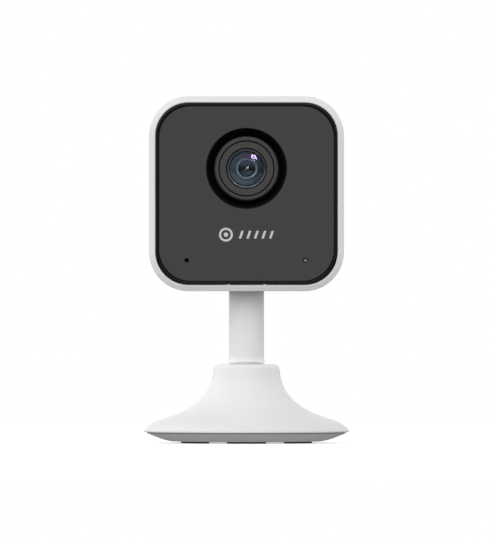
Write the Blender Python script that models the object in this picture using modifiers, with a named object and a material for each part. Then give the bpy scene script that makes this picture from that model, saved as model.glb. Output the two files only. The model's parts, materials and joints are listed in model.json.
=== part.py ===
"""Indoor security camera on a round pedestal: a square head tilts on a friction hinge at the top of a stem,
and the stem swivels in the neck of the base.

Lengths are in millimetres and become metres where a shape is made. The origin is on the ground under the middle
of the base, +Z is up and the lens looks along -Y. Lens and face pieces are laid out by FORWARD, their distance
in front of the stem's axis.
"""

import math

import bmesh
import bpy
from mathutils import Matrix, Vector
from mathutils.geometry import interpolate_bezier

MM = 0.001
GAP = 0.3  # between pieces that touch on the real object

# Base
BASE_RADIUS = 32.0
RIM_Z = 4.1
NECK_RADIUS = 9.2
NECK_TOP = 24.6
BASE_WALL = 2.0
NECK_HOLE = 5.4
FLANK = ((10.35, 22.6), (11.55, 10.6), (23.6, 8.6), (28.6, 6.6))
RIM = ((28.6, 6.6), (30.3, 5.9), (31.9, 4.9), (BASE_RADIUS, RIM_Z))
LIP = ((31.6, 3.5), (30.7, 3.15), (29.0, 3.15), (28.4, 4.4))
COVER_EDGE = ((30.4, 2.85), (28.0, 1.85), (25.0, 0.5), (22.5, 0.5))
COVER_TOP = 2.2
COVER_BOTTOM = 0.5
GROOVE_TOP = 1.2
FOOT_INNER = 17.0
FOOT_OUTER = 21.0
FOOT_PADS = 6
PAD_HALF_ANGLE = math.radians(17)
BASE_SCREW_RADIUS = 19.0
BASE_SCREW_ANGLES = (30, 150, 270)

# Stem
STEM_RADIUS = 5.45
STEM_BORE = 4.5
STEM_BOTTOM = 25.4
STEM_TOP = 49.5
SPINDLE_RADIUS = 3.2
PLUG_RADIUS = 4.2

# Head and its hinge
HEAD_SIZE = 60.7
HEAD_MIDDLE = 77.75
HEAD_CORNER = 12.3
REAR_ROUND = 5.5
SHELL_WALL = 1.95
SHELL_FRONT = 14.9
SHELL_BACK = -13.5
TILT_Z = 54.5
SLOT_RADIUS = 5.95
HOUSING_HALF = 7.1
HOUSING_RADIUS = 9.6
HOUSING_BORE = 8.35
KNUCKLE_RADIUS = 5.6
KNUCKLE_HALF = 4.9
HINGE_BOLT = 1.5

# Face
BEZEL_SIZE = 56.5
BEZEL_CORNER = 10.3
BEZEL_OPENING = 50.0
BEZEL_FRONT = 15.5
BEZEL_BACK = 10.5
LEDGE = 13.5
PANEL_SIZE = 54.4
PANEL_CORNER = 9.9
PANEL_BACK = 13.75
PANEL_FRONT = 15.25
CASE_SCREW = 23.0
CORNER_STEPS = 7
SMALL_HOLES_Z = HEAD_MIDDLE - 20.75
MIC_X = -18.6
STATUS_X = 18.4

# Lens
LENS_Z = HEAD_MIDDLE + 7.85
RECESS_RADIUS = 12.6
BARREL_RADIUS = 9.95
BARREL_FRONT = 14.5
GLASS_RADIUS = 6.1

# Boards: front and back faces as distances in front of the stem's axis
MAIN_BOARD = (0.0, 1.2)
LED_BOARD = (9.2, 10.0)
BOARD_SCREW_X = 23.8
BOARD_SCREW_Z = 70.0

# Pieces on the back
SPEAKER_Z = 88.0
SPEAKER_RADIUS = 10.0
SPEAKER_HOLE = 0.7
SPEAKER_PITCH = 2.6
SPEAKER_ROW = 2.25
PORT_X = 15.2
PORT_Z = 58.5
RESET_Z = 68.0
IO_BOARD = (-6.8, -5.8)
CARD_Z = 83.0
CARD_SLOT_Y = 1.1

FACING = {
    "up": (0, 0, 0),
    "down": (math.pi, 0, 0),
    "front": (math.pi / 2, 0, 0),
    "back": (math.pi / 2, 0, math.pi),
    "right": (math.pi / 2, 0, math.pi / 2),
}

for old in list(bpy.data.objects):
    bpy.data.objects.remove(old)

parts = bpy.data.collections.new("security_camera")
cutters = bpy.data.collections.new("cutters")
cutters.hide_render = True
bpy.context.scene.collection.children.link(parts)
bpy.context.scene.collection.children.link(cutters)


def finish(name, colour, roughness, metallic=0.0, transmission=0.0):
    """A plain material of this colour."""
    made = bpy.data.materials.new(name)
    made.use_nodes = True
    shader = made.node_tree.nodes["Principled BSDF"]
    shader.inputs["Base Color"].default_value = (*colour, 1.0)
    shader.inputs["Roughness"].default_value = roughness
    shader.inputs["Metallic"].default_value = metallic
    shader.inputs["Transmission Weight"].default_value = transmission
    return made


WHITE = finish("white_plastic", (0.83, 0.83, 0.83), 0.35)
GREY = finish("grey_plastic", (0.36, 0.36, 0.37), 0.5)
RUBBER = finish("dark_rubber", (0.05, 0.05, 0.05), 0.85)
STEEL = finish("steel", (0.55, 0.55, 0.57), 0.35, metallic=1.0)
NATURAL = finish("natural_acetal", (0.8, 0.79, 0.75), 0.4)
GLOSS_BLACK = finish("gloss_black", (0.01, 0.01, 0.01), 0.08)
PANEL_GREY = finish("panel_grey", (0.055, 0.055, 0.055), 0.2)
MATTE_BLACK = finish("matte_black", (0.008, 0.008, 0.008), 0.7)
BARREL_GREY = finish("barrel_grey", (0.065, 0.062, 0.06), 0.45)
GLASS = finish("coated_glass", (0.5, 0.55, 0.75), 0.03, transmission=1.0)
CLEAR = finish("clear_plastic", (0.8, 0.8, 0.8), 0.1, transmission=0.8)
BOARD = finish("board_green", (0.01, 0.09, 0.04), 0.4)
CHIP = finish("chip_black", (0.015, 0.015, 0.017), 0.5)
TIN = finish("tinned_steel", (0.7, 0.7, 0.7), 0.3, metallic=1.0)
COPPER = finish("copper_winding", (0.6, 0.25, 0.1), 0.35, metallic=1.0)
FOAM = finish("grey_foam", (0.12, 0.12, 0.12), 0.95)
RIBBON = finish("ribbon_white", (0.75, 0.75, 0.72), 0.5)


def forward(distance, x=0.0, z=0.0):
    """The place this far in front of the stem's axis."""
    return (x, -distance, z)


def place(made, centre, facing, look, smooth_angle=35):
    """Puts a finished mesh object where it belongs, with its material and its round sides shaded smooth."""
    made.location = Vector(centre) * MM
    made.rotation_euler = FACING[facing]
    if look:
        made.data.materials.append(look)
        parts.objects.link(made)
    else:
        made.hide_render = True
        made.display_type = "WIRE"
        cutters.objects.link(made)
    made.data.shade_smooth()
    made.data.set_sharp_from_angle(angle=math.radians(smooth_angle))
    return made


def evaluated_mesh(made):
    """The object's mesh with its modifiers applied and loose seams closed. The object itself is removed."""
    bpy.context.scene.collection.objects.link(made)
    graph = bpy.context.evaluated_depsgraph_get()
    mesh = bpy.data.meshes.new_from_object(made.evaluated_get(graph))
    bpy.data.objects.remove(made)
    welder = bmesh.new()
    welder.from_mesh(mesh)
    bmesh.ops.remove_doubles(welder, verts=welder.verts, dist=0.002 * MM)
    welder.to_mesh(mesh)
    welder.free()
    return mesh


def turned_mesh(profile, steps):
    """A profile of (radius, height) points spun about +Z. It runs down the outer side, and it is joined up into a
    ring unless both its ends are on the axis."""
    outline = bmesh.new()
    corners = [outline.verts.new((radius * MM, 0, height * MM)) for radius, height in profile]
    for first, second in zip(corners, corners[1:]):
        outline.edges.new((first, second))
    if profile[0][0] > 0:
        outline.edges.new((corners[-1], corners[0]))
    mesh = bpy.data.meshes.new("profile")
    outline.to_mesh(mesh)
    outline.free()
    spun = bpy.data.objects.new("profile", mesh)
    screw = spun.modifiers.new("Spin", "SCREW")
    screw.steps = steps
    screw.render_steps = steps
    screw.use_merge_vertices = True
    screw.merge_threshold = 0.00001
    return evaluated_mesh(spun)


def turned(name, profile, look=None, centre=(0, 0, 0), facing="up", steps=16):
    """A turned piece, with its profile's heights measured from centre along the way it faces."""
    made = bpy.data.objects.new(name, turned_mesh(profile, steps))
    return place(made, centre, facing, look)


def rod(name, radius, low, high, look=None, centre=(0, 0, 0), facing="up", steps=16):
    """A plain cylinder from low to high along the way it faces."""
    profile = [(0, high), (radius, high), (radius, low), (0, low)]
    return turned(name, profile, look, centre, facing, steps)


def ring(name, outer, inner, low, high, look=None, centre=(0, 0, 0), facing="up", steps=16):
    """A washer from low to high along the way it faces."""
    profile = [(outer, high), (outer, low), (inner, low), (inner, high)]
    return turned(name, profile, look, centre, facing, steps)


def plate(name, outlines, low, high, look=None, centre=(0, 0, 0), facing="up"):
    """Flat outlines raised from low to high. An outline inside another one is a hole."""
    curve = bpy.data.curves.new(name, "CURVE")
    curve.dimensions = "2D"
    curve.fill_mode = "BOTH"
    curve.extrude = (high - low) / 2 * MM
    for outline in outlines:
        spline = curve.splines.new("POLY")
        spline.points.add(len(outline) - 1)
        for point, (x, y) in zip(spline.points, outline):
            point.co = (x * MM, y * MM, 0, 1)
        spline.use_cyclic_u = True
    mesh = evaluated_mesh(bpy.data.objects.new(name, curve))
    mesh.transform(Matrix.Translation((0, 0, (low + high) / 2 * MM)))
    return place(bpy.data.objects.new(name, mesh), centre, facing, look)


def bevel(work, edges, width, segments):
    bmesh.ops.bevel(
        work, geom=edges, offset=width * MM, offset_type="OFFSET", segments=segments, profile=0.5, affect="EDGES"
    )


def soft_box(
    name, size, low, high, look=None, centre=(0, 0, 0), facing="up", corner=0, base=0, top=0, steps=CORNER_STEPS
):
    """A box of size (x, y) from low to high along the way it faces. Its upright corners and the edges round its
    base and its top are rounded to these radii."""
    work = bmesh.new()
    bmesh.ops.create_cube(work, size=1)
    scale = Matrix.Diagonal((size[0] * MM, size[1] * MM, (high - low) * MM, 1))
    bmesh.ops.transform(work, verts=work.verts, matrix=Matrix.Translation((0, 0, (low + high) / 2 * MM)) @ scale)

    def level_edges(height):
        return [e for e in work.edges if all(abs(v.co.z - height * MM) < 1e-7 for v in e.verts)]

    if corner:
        bevel(work, [e for e in work.edges if abs(e.verts[0].co.z - e.verts[1].co.z) > 1e-7], corner, steps)
    if base:
        bevel(work, level_edges(low), base, 4 if base > 2 else 2)
    if top:
        bevel(work, level_edges(high), top, 4 if top > 2 else 2)
    mesh = bpy.data.meshes.new(name)
    work.to_mesh(mesh)
    work.free()
    return place(bpy.data.objects.new(name, mesh), centre, facing, look)


def boolean(target, operation, tools):
    for tool in tools:
        step = target.modifiers.new(tool.name, "BOOLEAN")
        step.operation = operation
        step.object = tool


def cut(target, *tools):
    boolean(target, "DIFFERENCE", tools)


def join(target, *tools):
    boolean(target, "UNION", tools)


def circle(radius, x=0.0, y=0.0, steps=24):
    turn = 2 * math.pi / steps
    return [(x + radius * math.cos(i * turn), y + radius * math.sin(i * turn)) for i in range(steps)]


def arc(radius, start, end, x=0.0, y=0.0, steps=6):
    """Points from one angle to another, in degrees."""
    angles = [math.radians(start + (end - start) * i / steps) for i in range(steps + 1)]
    return [(x + radius * math.cos(a), y + radius * math.sin(a)) for a in angles]


def rounded_square(size, corner, steps=CORNER_STEPS):
    inset = size / 2 - corner
    quarters = ((1, 1, 0), (-1, 1, 90), (-1, -1, 180), (1, -1, 270))
    return [
        point
        for side_x, side_y, start in quarters
        for point in arc(corner, start, start + 90, side_x * inset, side_y * inset, steps)
    ]


def rectangle(left, right, low, high):
    """The corners of a rectangle."""
    return [(left, low), (right, low), (right, high), (left, high)]


def capsule(radius, low, high, x=0.0):
    """A slot outline with round ends, whose end arcs are centred on low and high."""
    return arc(radius, 0, 180, x, high, 8) + arc(radius, 180, 360, x, low, 8)


def along(points, steps):
    """Points along a cubic curve, ends included."""
    knots = [Vector(point) for point in points]
    return [tuple(point) for point in interpolate_bezier(knots[0], knots[1], knots[2], knots[3], steps)]


def inside(points, wall):
    """The same run of (radius, height) points, moved into the material by the wall's thickness."""
    moved = []
    for i, point in enumerate(points):
        before = Vector(points[max(i - 1, 0)])
        after = Vector(points[min(i + 1, len(points) - 1)])
        run = (after - before).normalized()
        moved.append((point[0] + run.y * wall, point[1] - run.x * wall))
    return moved


def around(radius, angles):
    """Places on a circle about the stem's axis."""
    return [(radius * math.cos(math.radians(a)), radius * math.sin(math.radians(a))) for a in angles]


def screw_mesh(head_radius, head_height, shank_radius, length):
    """A pan-head screw whose head stands on the origin's level, with a cross recess."""
    profile = [
        (0, head_height),
        (head_radius * 0.75, head_height),
        (head_radius, head_height * 0.55),
        (head_radius, 0),
        (shank_radius, 0),
        (shank_radius, shank_radius - length),
        (0, -length),
    ]
    blank = bpy.data.objects.new("blank", turned_mesh(profile, 10))
    width = head_radius * 0.3
    for turn in (0, math.pi / 2):
        blade = soft_box("cross", (width, head_radius * 1.25), head_height * 0.45, head_height + 1)
        blade.rotation_euler = (0, 0, turn)
        cut(blank, blade)
    return evaluated_mesh(blank)


def screw(name, mesh, centre, facing):
    made = bpy.data.objects.new(name, mesh)
    made.location = Vector(centre) * MM
    made.rotation_euler = FACING[facing]
    if not mesh.materials:
        mesh.materials.append(STEEL)
    mesh.shade_smooth()
    mesh.set_sharp_from_angle(angle=math.radians(35))
    parts.objects.link(made)
    return made


def build_base():
    flank = along(FLANK, 6)
    rim = along(RIM, 3)
    shoulder = [(NECK_RADIUS, NECK_TOP), (9.9, 24.1), (10.2, 23.4)]
    lining = inside(along(FLANK, 4), BASE_WALL)
    roof = [(lining[0][0], NECK_TOP - 2.2), (NECK_HOLE, NECK_TOP - 2.2)]
    profile = [(NECK_HOLE, NECK_TOP)] + shoulder + flank + rim[1:] + list(LIP) + lining[::-1] + roof
    shell = turned("base_shell", profile, WHITE, steps=32)

    groove_outer = FOOT_OUTER + 0.5
    groove_inner = FOOT_INNER - 0.4
    cover_profile = [(0, COVER_TOP), (26.5, COVER_TOP), (28.0, 2.85)] + along(COVER_EDGE, 4)
    cover_profile += [(groove_outer, COVER_BOTTOM), (groove_outer, GROOVE_TOP)]
    cover_profile += [(groove_inner, GROOVE_TOP), (groove_inner, COVER_BOTTOM), (0, COVER_BOTTOM)]
    cover = turned("base_cover", cover_profile, GREY, steps=32)

    weight = ring("base_weight", 25.0, 7.0, COVER_TOP + GAP, 5.0, STEEL, steps=32)
    fastener = screw_mesh(1.6, 0.9, 0.8, 5.2)
    for number, (x, y) in enumerate(around(BASE_SCREW_RADIUS, BASE_SCREW_ANGLES), 1):
        foot = (x, y, 0)
        join(shell, rod("shell_boss", 2.4, 3.9, 8.9, centre=foot, steps=12))
        cut(shell, rod("shell_boss_hole", 1.1, 3.0, 8.0, centre=foot, steps=8))
        join(cover, rod("cover_boss", 2.6, 1.8, 3.6, centre=foot, steps=12))
        cut(cover, rod("cover_head_hole", 1.95, 0.2, 2.4, centre=foot, steps=12))
        cut(cover, rod("cover_screw_hole", 1.1, 2.0, 4.0, centre=foot, steps=8))
        cut(weight, rod("weight_hole", 3.3, 2.0, 6.0, centre=foot, steps=12))
        screw(f"base_screw_{number}", fastener, (x, y, 2.25), "down")

    ring_web = ring("foot_ring", FOOT_OUTER + 0.2, FOOT_INNER - 0.1, 0.55, 0.9, RUBBER, steps=36)
    pads = []
    for number in range(FOOT_PADS):
        middle = 360 / FOOT_PADS * number - 90
        half = math.degrees(PAD_HALF_ANGLE)
        outer = arc(FOOT_OUTER, middle - half, middle + half, steps=4)
        inner = arc(FOOT_INNER, middle + half, middle - half, steps=4)
        pads.append(outer + inner)
    join(ring_web, plate("foot_pads", pads, 0, 0.72))

    bush = [(6.1, 25.1), (6.1, 24.8), (5.1, 24.8), (5.1, 22.0), (3.45, 22.0), (3.45, 25.1)]
    turned("neck_bush", bush, NATURAL)
    ring("wave_washer", 5.9, 3.6, 21.3, 21.7, STEEL)
    ring("swivel_washer", 6.8, 1.45, 20.3, 21.0, STEEL)


def build_stem():
    flare = [(STEM_RADIUS, 26.6), (5.6, 26.0), (6.05, 25.7), (6.05, STEM_BOTTOM)]
    tube = [(STEM_RADIUS, STEM_TOP)] + flare + [(STEM_BORE, STEM_BOTTOM), (STEM_BORE, STEM_TOP)]
    turned("stem_tube", tube, WHITE, steps=24)
    spindle = [(0, 34), (PLUG_RADIUS, 34), (PLUG_RADIUS, STEM_BOTTOM), (SPINDLE_RADIUS, STEM_BOTTOM)]
    spindle += [(SPINDLE_RADIUS, 21.3), (1.35, 21.3), (1.35, 31.5), (0, 31.5)]
    turned("swivel_spindle", spindle, STEEL)
    fastener = screw_mesh(3.2, 1.9, 1.05, 10.4)
    screw("swivel_screw", fastener, (0, 0, 20.0), "down")

    plug = [(0, 50.6), (STEM_RADIUS, 50.6), (STEM_RADIUS, STEM_TOP + GAP), (PLUG_RADIUS, STEM_TOP + GAP)]
    knuckle = turned("hinge_knuckle", plug + [(PLUG_RADIUS, 41), (0, 41)], GREY)
    cheek = arc(KNUCKLE_RADIUS, 0, 180, steps=12)
    cheek += [(-STEM_RADIUS, 50.0 - TILT_Z), (STEM_RADIUS, 50.0 - TILT_Z)]
    tilt_axis = (0, 0, TILT_Z)
    join(knuckle, plate("knuckle_cheek", [cheek], -KNUCKLE_HALF, KNUCKLE_HALF, None, tilt_axis, "right"))
    cut(knuckle, rod("knuckle_hole", HINGE_BOLT + GAP, -9, 9, None, tilt_axis, "right", 16))


def build_hinge():
    axis = (0, 0, TILT_Z)
    floor = HEAD_MIDDLE - HEAD_SIZE / 2 + SHELL_WALL + GAP - TILT_Z
    back = -SHELL_BACK - SHELL_WALL - GAP
    outer = [(-HOUSING_RADIUS, floor)] + arc(HOUSING_RADIUS, 180, 90)
    outer += [(back, HOUSING_RADIUS), (back, floor + 4), (back - 4, floor)]
    inner = [(-HOUSING_BORE, floor - 4)] + arc(HOUSING_BORE, 180, 90)
    inner += [(back + 4, HOUSING_BORE), (back + 4, floor - 4)]
    housing = plate("hinge_housing", [outer], -HOUSING_HALF, HOUSING_HALF, MATTE_BLACK, axis, "right")
    cut(housing, plate("housing_channel", [inner], -SLOT_RADIUS, SLOT_RADIUS, None, axis, "right"))
    cut(housing, rod("housing_hole", HINGE_BOLT + GAP, -9, 9, None, axis, "right", 16))
    ring("friction_washer_right", 3.6, HINGE_BOLT + GAP, 5.15, 5.7, STEEL, axis, "right")
    ring("friction_washer_left", 3.6, HINGE_BOLT + GAP, -5.7, -5.15, STEEL, axis, "right")
    bolt = screw_mesh(2.9, 1.7, HINGE_BOLT, 16.6)
    bolt.transform(Matrix.Rotation(math.pi, 4, "Y"))
    bolt.transform(Matrix.Translation((0, 0, (-HOUSING_HALF - GAP) * MM)))
    screw("hinge_screw", bolt, axis, "right")
    nut_low = HOUSING_HALF + GAP
    ring("hinge_nut", 3.2, HINGE_BOLT + GAP, nut_low, nut_low + 2.0, STEEL, axis, "right", 6)


def build_case():
    middle = (0, 0, HEAD_MIDDLE)
    wall_inside = SHELL_BACK + SHELL_WALL
    shell = soft_box(
        "rear_shell", (HEAD_SIZE, HEAD_SIZE), SHELL_BACK, SHELL_FRONT, WHITE, middle, "front",
        corner=HEAD_CORNER, base=REAR_ROUND, top=0.9,
    )
    room = HEAD_SIZE - 2 * SHELL_WALL
    cavity = soft_box(
        "shell_cavity", (room, room), wall_inside, SHELL_FRONT + 3, None, middle, "front",
        corner=HEAD_CORNER - SHELL_WALL, base=REAR_ROUND - SHELL_WALL,
    )
    cut(shell, cavity)

    corners = [(side * CASE_SCREW, HEAD_MIDDLE + up * CASE_SCREW) for side in (-1, 1) for up in (-1, 1)]
    bosses = [(x, z, 10.2, 2.4) for x, z in corners]
    bosses += [(side * BOARD_SCREW_X, BOARD_SCREW_Z, MAIN_BOARD[0] - GAP, 2.2) for side in (-1, 1)]
    bosses += [(12.4, 71.0, IO_BOARD[0] - GAP, 1.6), (18.4, 54.4, IO_BOARD[0] - GAP, 1.6)]
    for x, z, top, radius in bosses:
        post = forward(0, x, z)
        join(shell, rod("shell_post", radius, wall_inside - 0.8, top, None, post, "front", 12))
        if radius > 2:
            cut(shell, rod("shell_post_hole", 1.1, wall_inside + 3, top + 1, None, post, "front", 8))

    floor = HEAD_MIDDLE - HEAD_SIZE / 2
    cut(shell, plate("slot_below", [capsule(SLOT_RADIUS, -2.0, 20)], floor - 3, floor + 2.9))
    cut(shell, plate("slot_behind", [capsule(SLOT_RADIUS, -20, 0)], 9.3, 17, None, (0, 0, TILT_Z), "back"))
    port = (PORT_X, 0, PORT_Z)
    cut(shell, soft_box("port_opening", (8.6, 3.6), 10, 15, None, port, "back", corner=0.9, steps=2))
    cut(shell, rod("reset_opening", 1.65, 10, 15, None, (PORT_X, 0, RESET_Z), "back", 16))
    card = (0, CARD_SLOT_Y, CARD_Z)
    cut(shell, soft_box("card_opening", (1.6, 12.4), 27, 32, None, card, "right", corner=0.5, steps=2))
    holes = []
    for row in range(-2, 3):
        reach = 4 - abs(row)
        for column in range(reach + 1):
            x = SPEAKER_PITCH * (column - reach / 2)
            holes.append(circle(SPEAKER_HOLE, x, SPEAKER_ROW * row, 10))
    cut(shell, plate("speaker_holes", holes, 10, 15, None, (0, 0, SPEAKER_Z), "back"))

    bezel = soft_box(
        "front_bezel", (BEZEL_SIZE, BEZEL_SIZE), BEZEL_BACK, BEZEL_FRONT, GLOSS_BLACK, middle, "front",
        corner=BEZEL_CORNER, top=0.5,
    )
    pocket = (PANEL_SIZE + 2 * GAP, PANEL_SIZE + 2 * GAP)
    cut(bezel, soft_box("panel_pocket", pocket, LEDGE, 17, None, middle, "front", corner=PANEL_CORNER + GAP))
    opening = (BEZEL_OPENING, BEZEL_OPENING)
    cut(bezel, soft_box("bezel_opening", opening, 9, 15, None, middle, "front", corner=13))
    fastener = screw_mesh(1.6, 0.9, 0.8, 8.0)
    for number, (x, z) in enumerate(corners, 1):
        spot = forward(0, x, z)
        cut(bezel, rod("case_head_hole", 1.95, LEDGE - 1.3, 15, None, spot, "front", 12))
        cut(bezel, rod("case_screw_hole", 1.1, 9, 13, None, spot, "front", 8))
        screw(f"case_screw_{number}", fastener, forward(LEDGE - 1.1, x, z), "front")

    outlines = [rounded_square(PANEL_SIZE, PANEL_CORNER)]
    outlines += [circle(RECESS_RADIUS, 0, LENS_Z - HEAD_MIDDLE, 40)]
    outlines += [circle(0.69, MIC_X, SMALL_HOLES_Z - HEAD_MIDDLE, 12)]
    outlines += [circle(0.78, STATUS_X, SMALL_HOLES_Z - HEAD_MIDDLE, 12)]
    plate("front_panel", outlines, PANEL_BACK, PANEL_FRONT, PANEL_GREY, middle, "front")


def build_lens():
    axis = (0, 0, LENS_Z)
    shroud = [(14.6, 13.5), (14.6, 12.9), (13.1, 12.9), (11.4, 7.5), (10.6, 7.5), (12.35, 13.5)]
    turned("lens_shroud", shroud, MATTE_BLACK, axis, "front", 32)
    barrel = [(8.75, BARREL_FRONT), (9.45, BARREL_FRONT), (BARREL_RADIUS, 14.0), (BARREL_RADIUS, 10.0)]
    barrel += [(7.0, 10.0), (7.0, 4.6), (3.6, 4.6), (3.6, 5.4), (5.2, 5.4), (5.2, 10.5), (6.4, 10.5)]
    barrel += [(6.4, 11.7), (8.75, 11.7)]
    turned("lens_barrel", barrel, BARREL_GREY, axis, "front", 32)
    ring("lens_front_ring", 8.45, GLASS_RADIUS + 0.25, 12.0, BARREL_FRONT, BARREL_GREY, axis, "front", 32)

    dome = [(GLASS_RADIUS * step / 4, 14.1 - 1.6 * (step / 4) ** 2) for step in range(5)]
    turned("front_lens", dome + [(GLASS_RADIUS, 10.8), (4.0, 10.8), (2.2, 11.6), (0, 11.9)], GLASS, axis, "front")
    turned("middle_lens", [(0, 10.2), (2.5, 10.1), (4.9, 9.7), (4.9, 9.2), (0, 9.1)], GLASS, axis, "front")
    ring("aperture_stop", 4.9, 2.3, 8.4, 8.8, MATTE_BLACK, axis, "front")
    turned("rear_lens", [(0, 8.1), (2.5, 7.9), (4.9, 7.3), (4.9, 6.0), (2.5, 5.8), (0, 5.7)], GLASS, axis, "front")

    holder = soft_box("lens_holder", (25, 17), 1.5, 4.2, MATTE_BLACK, axis, "front", corner=1.0, steps=2)
    join(holder, rod("holder_collar", 8.45, 2.0, 9.2, None, axis, "front", 24))
    cut(holder, rod("holder_bore", 7.3, 4.2, 10, None, axis, "front", 24))
    cut(holder, rod("holder_window", 3.8, 0.9, 5, None, axis, "front", 16))
    cut(holder, soft_box("filter_room", (20.6, 10.4), 1.0, 3.6, None, axis, "front"))
    soft_box("image_sensor", (7.0, 6.0), 1.5, 2.2, CHIP, axis, "front")

    windows = [rectangle(-2.8, 2.8, -3.0, 3.0), rectangle(-9.0, -3.4, -3.0, 3.0)]
    frame = rectangle(-9.9, 3.7, -4.3, 4.3)
    plate("ir_filter_carriage", [frame] + windows, 2.5, 3.2, CHIP, axis, "front")
    soft_box("ir_filter_glass", (5.0, 5.4), 2.65, 3.05, GLASS, axis, "front")
    spool = [(0, 18.6), (2.7, 18.6), (2.7, 18.0), (2.2, 18.0), (2.2, 13.6), (2.7, 13.6), (2.7, 13.0), (0, 13.0)]
    turned("filter_coil", spool, COPPER, forward(4.5, 0, LENS_Z), "right", 16)


def board_outline(half_width, wing, low, high):
    """An outline with wings between the case screws and a notch at the bottom for the hinge."""
    right = [(10.3, 64.8), (10.3, low), (half_width, low), (half_width, 59), (wing, 59), (wing, 97)]
    right += [(half_width, 97), (half_width, high)]
    return right + [(-x, z) for x, z in reversed(right)]


def build_electronics():
    plate("main_board", [board_outline(20.2, 27.5, 52.5, 103.5)], *MAIN_BOARD, BOARD, facing="front")
    fastener = screw_mesh(1.6, 0.9, 0.8, 7.5)
    for number, side in enumerate((-1, 1), 1):
        spot = (side * BOARD_SCREW_X, 0, BOARD_SCREW_Z)
        board_hole = rod("board_hole", 1.1, -1, 3, None, spot, "front", 8)
        cut(bpy.data.objects["main_board"], board_hole)
        screw(f"board_screw_{number}", fastener, forward(MAIN_BOARD[1] + GAP, spot[0], spot[2]), "front")

    chips = (-6.0, 0, 84.0)
    soft_box("processor_chip", (12, 12), 0.3, 1.4, CHIP, chips, "back")
    can = soft_box("shield_can", (20, 20), 0.3, 2.7, TIN, chips, "back", corner=0.6, top=0.3, steps=2)
    cut(can, soft_box("can_room", (19.2, 19.2), -1, 2.3, None, chips, "back"))
    socket = soft_box("card_socket", (14.6, 14.0), 0.3, 1.9, TIN, (21.0, 0, CARD_Z), "back")
    cut(socket, soft_box("card_room", (14.0, 12.0), 0.7, 1.5, None, (22.0, 0, CARD_Z), "back"))
    soft_box("wifi_antenna", (30, 6), 3.0, 3.8, BOARD, (0, 0, 102.4), "back")

    hole = circle(13.0, 0, LENS_Z, 32)
    plate("led_board", [board_outline(20.2, 25.0, 54.0, 101.6), hole], *LED_BOARD, BOARD, facing="front")
    lamp = [(0, 12.7), (1.2, 12.4), (1.7, 11.6), (1.7, 11.2), (2.4, 11.2), (2.4, 10.3), (0, 10.3)]
    turned("ir_led_left", lamp, CLEAR, (-19.5, 0, LENS_Z), "front", 16)
    turned("ir_led_right", lamp, CLEAR, (19.5, 0, LENS_Z), "front", 16)
    status = (STATUS_X, 0, SMALL_HOLES_Z)
    soft_box("status_led", (1.6, 0.8), 10.3, 11.0, CLEAR, status, "front")
    pipe = [(0, 15.1), (0.48, 15.1), (0.48, 13.45), (1.3, 13.45), (1.3, 12.8), (0.6, 12.8)]
    pipe += [(0.6, 11.3), (0, 11.3)]
    turned("light_pipe", pipe, CLEAR, status, "front", 12)
    sound = (MIC_X, 0, SMALL_HOLES_Z)
    soft_box("microphone", (3.0, 2.3), 10.3, 11.4, TIN, sound, "front")
    ring("mic_seal", 1.5, 0.6, 11.7, 13.45, RUBBER, sound, "front", 12)

    soft_box("io_board", (10.1, 20.0), *IO_BOARD, BOARD, (15.25, 0, 62.5), "front")
    spot = (PORT_X, 0, PORT_Z)
    port = soft_box("usb_port", (7.6, 2.8), 7.1, 13.2, TIN, spot, "back", corner=0.7, steps=2)
    cut(port, soft_box("port_room", (7.0, 2.2), 8.0, 15, None, spot, "back", corner=0.5, steps=2))
    join(port, soft_box("port_tongue", (4.6, 0.6), 7.6, 12.2, None, spot, "back"))
    reset = (PORT_X, 0, RESET_Z)
    switch = soft_box("reset_switch", (3.6, 3.6), 7.1, 8.6, TIN, reset, "back")
    join(switch, rod("switch_plunger", 0.9, 8.2, 9.1, None, reset, "back", 12))
    button = [(0, 13.3), (1.35, 13.3), (1.35, 11.4), (2.2, 11.4), (2.2, 10.7), (1.0, 10.7)]
    button += [(1.0, 9.8), (0, 9.8)]
    turned("reset_button", button, GREY, reset, "back", 16)

    speaker = [(0, 10.1), (3.0, 9.7), (8.2, 10.1), (8.6, 10.4), (SPEAKER_RADIUS, 10.4), (SPEAKER_RADIUS, 9.4)]
    speaker += [(8.6, 8.4), (5.6, 8.2), (5.6, 6.4), (0, 6.4)]
    turned("speaker", speaker, CHIP, (0, 0, SPEAKER_Z), "back")
    ring("speaker_gasket", 9.9, 8.3, 10.7, 11.4, FOAM, (0, 0, SPEAKER_Z), "back")
    build_ribbon()


def build_ribbon():
    """A flat cable from the back of the main board, over in a half loop, to the front of the socket board."""
    near = 0.45
    far = 5.35
    radius = (far - near) / 2
    line = [(near, 66.0)] + arc(radius, 180, 0, near + radius, 72.0, 8) + [(far, 68.5)]
    strip = bmesh.new()
    rows = [[strip.verts.new((x * MM, y * MM, z * MM)) for y, z in line] for x in (12.0, 18.0)]
    for i in range(len(line) - 1):
        strip.faces.new((rows[0][i], rows[1][i], rows[1][i + 1], rows[0][i + 1]))
    mesh = bpy.data.meshes.new("board_ribbon")
    strip.to_mesh(mesh)
    strip.free()
    made = bpy.data.objects.new("board_ribbon", mesh)
    thickness = made.modifiers.new("Thickness", "SOLIDIFY")
    thickness.thickness = 0.24 * MM
    thickness.offset = 0
    place(made, (0, 0, 0), "up", RIBBON)


def hang(children, axis_name, place_on_axis, parent=None):
    """Hangs pieces on an empty that stands on their joint's axis, without moving them."""
    axis = bpy.data.objects.new(axis_name, None)
    axis.empty_display_size = 10 * MM
    spot = Vector(place_on_axis) * MM
    axis.location = spot
    parts.objects.link(axis)
    for child in children:
        child.parent = axis
        child.matrix_parent_inverse = Matrix.Translation(-spot)
    if parent:
        axis.parent = parent
        axis.matrix_parent_inverse = Matrix.Translation(-parent.location)
    return axis


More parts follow.
